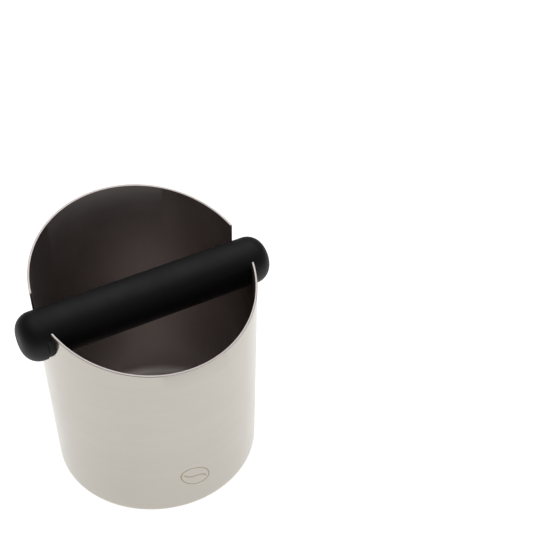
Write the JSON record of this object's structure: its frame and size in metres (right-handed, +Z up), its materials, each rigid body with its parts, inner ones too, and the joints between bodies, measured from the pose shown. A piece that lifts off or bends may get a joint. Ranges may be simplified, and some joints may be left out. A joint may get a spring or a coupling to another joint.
{
  "type": "espresso knock box",
  "caption": "Free-standing steel knock box with a slanted rim and a lift-out rubber knock bar resting in two side slots.",
  "frame": {"origin": "middle of the non-slip pad's underside, on the cup's axis", "axes": "+Z up along the cup's axis, +X along the knock bar, -Y towards the low side of the slanted rim"},
  "size_m": [0.1376, 0.115, 0.1384],
  "materials": {
    "brushed_steel_cup": "satin, brushed round the cup",
    "bar_rubber": "matt moulded",
    "pad_rubber": "matt moulded, ribbed",
    "tube_steel": "drawn"
  },
  "bodies": {
    "cup": {"cup_body": "brushed_steel_cup", "base_pad": "pad_rubber"},
    "bar": {"bar_tube": "tube_steel", "bar_sleeve": "bar_rubber", "bar_end_left": "bar_rubber", "bar_end_right": "bar_rubber"}
  },
  "joints": [
    {"name": "bar_lift", "type": "slide", "parent": "cup", "child": "bar", "axis": [0, 0, 1], "range_m": [0, 0.06]}
  ]
}
